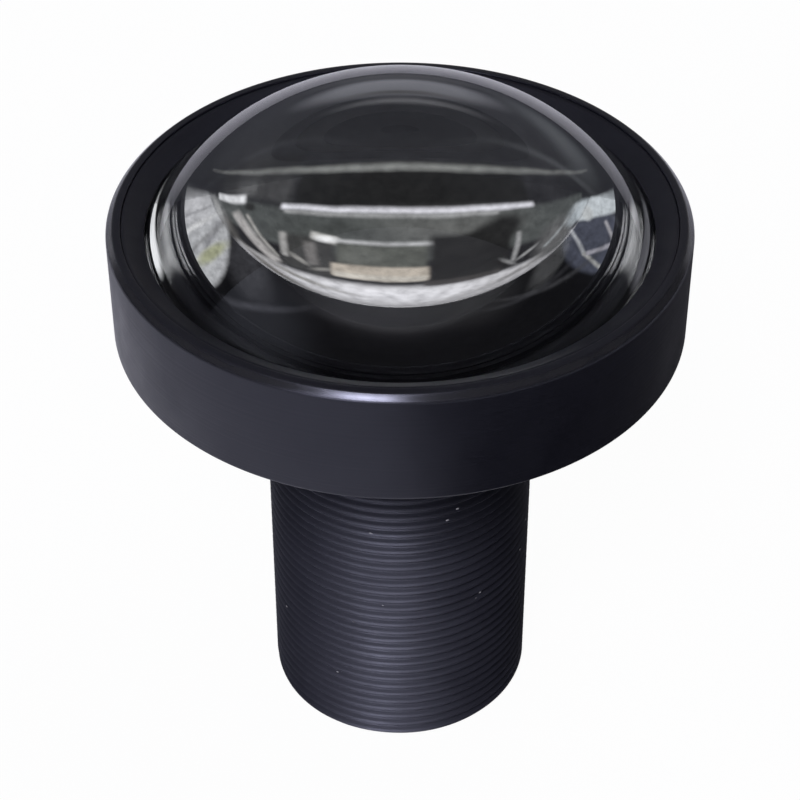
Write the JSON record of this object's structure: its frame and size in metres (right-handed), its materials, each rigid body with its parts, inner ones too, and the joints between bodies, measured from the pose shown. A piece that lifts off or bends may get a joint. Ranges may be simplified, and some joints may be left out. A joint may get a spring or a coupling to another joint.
{
  "type": "s-mount lens",
  "caption": "Fixed-focus wide-angle board camera lens: wide round head with a high glass dome, on a long M12 x 0.5 threaded barrel.",
  "frame": {"origin": "centre of the barrel's rear face, which the lens stands on", "axes": "+Z along the optical axis, from the rear end towards the front dome"},
  "size_m": [0.0248, 0.0248, 0.031],
  "materials": {
    "barrel_anodized": "satin black anodized, turned",
    "bezel_anodized": "matte black anodized",
    "dome_glass": "polished, coated",
    "inner_glass": "polished, coated",
    "filter_glass": "polished, infrared cut coating",
    "spacer_black": "matte black anodized",
    "shield_film": "matte black film",
    "seal_rubber": "matte black",
    "stop_plate": "blackened",
    "adhesive": "cured resin"
  },
  "bodies": {
    "root": {"barrel": "barrel_anodized", "head": "barrel_anodized", "front_retaining_ring": "bezel_anodized", "front_seal_ring": "seal_rubber", "front_lens": "dome_glass", "front_baffle": "spacer_black", "front_light_shield": "shield_film", "second_lens": "inner_glass", "third_lens": "inner_glass", "front_spacer": "spacer_black", "fourth_lens": "inner_glass", "stop_spacer": "spacer_black", "aperture_stop": "stop_plate", "doublet_spacer": "spacer_black", "fifth_lens": "inner_glass", "sixth_lens": "inner_glass", "middle_spacer": "spacer_black", "seventh_lens": "inner_glass", "rear_light_shield": "shield_film", "rear_spacer": "spacer_black", "eighth_lens": "inner_glass", "rear_retaining_ring": "spacer_black", "filter_seat": "spacer_black", "ir_cut_filter": "filter_glass", "filter_adhesive": "adhesive"}
  },
  "joints": []
}
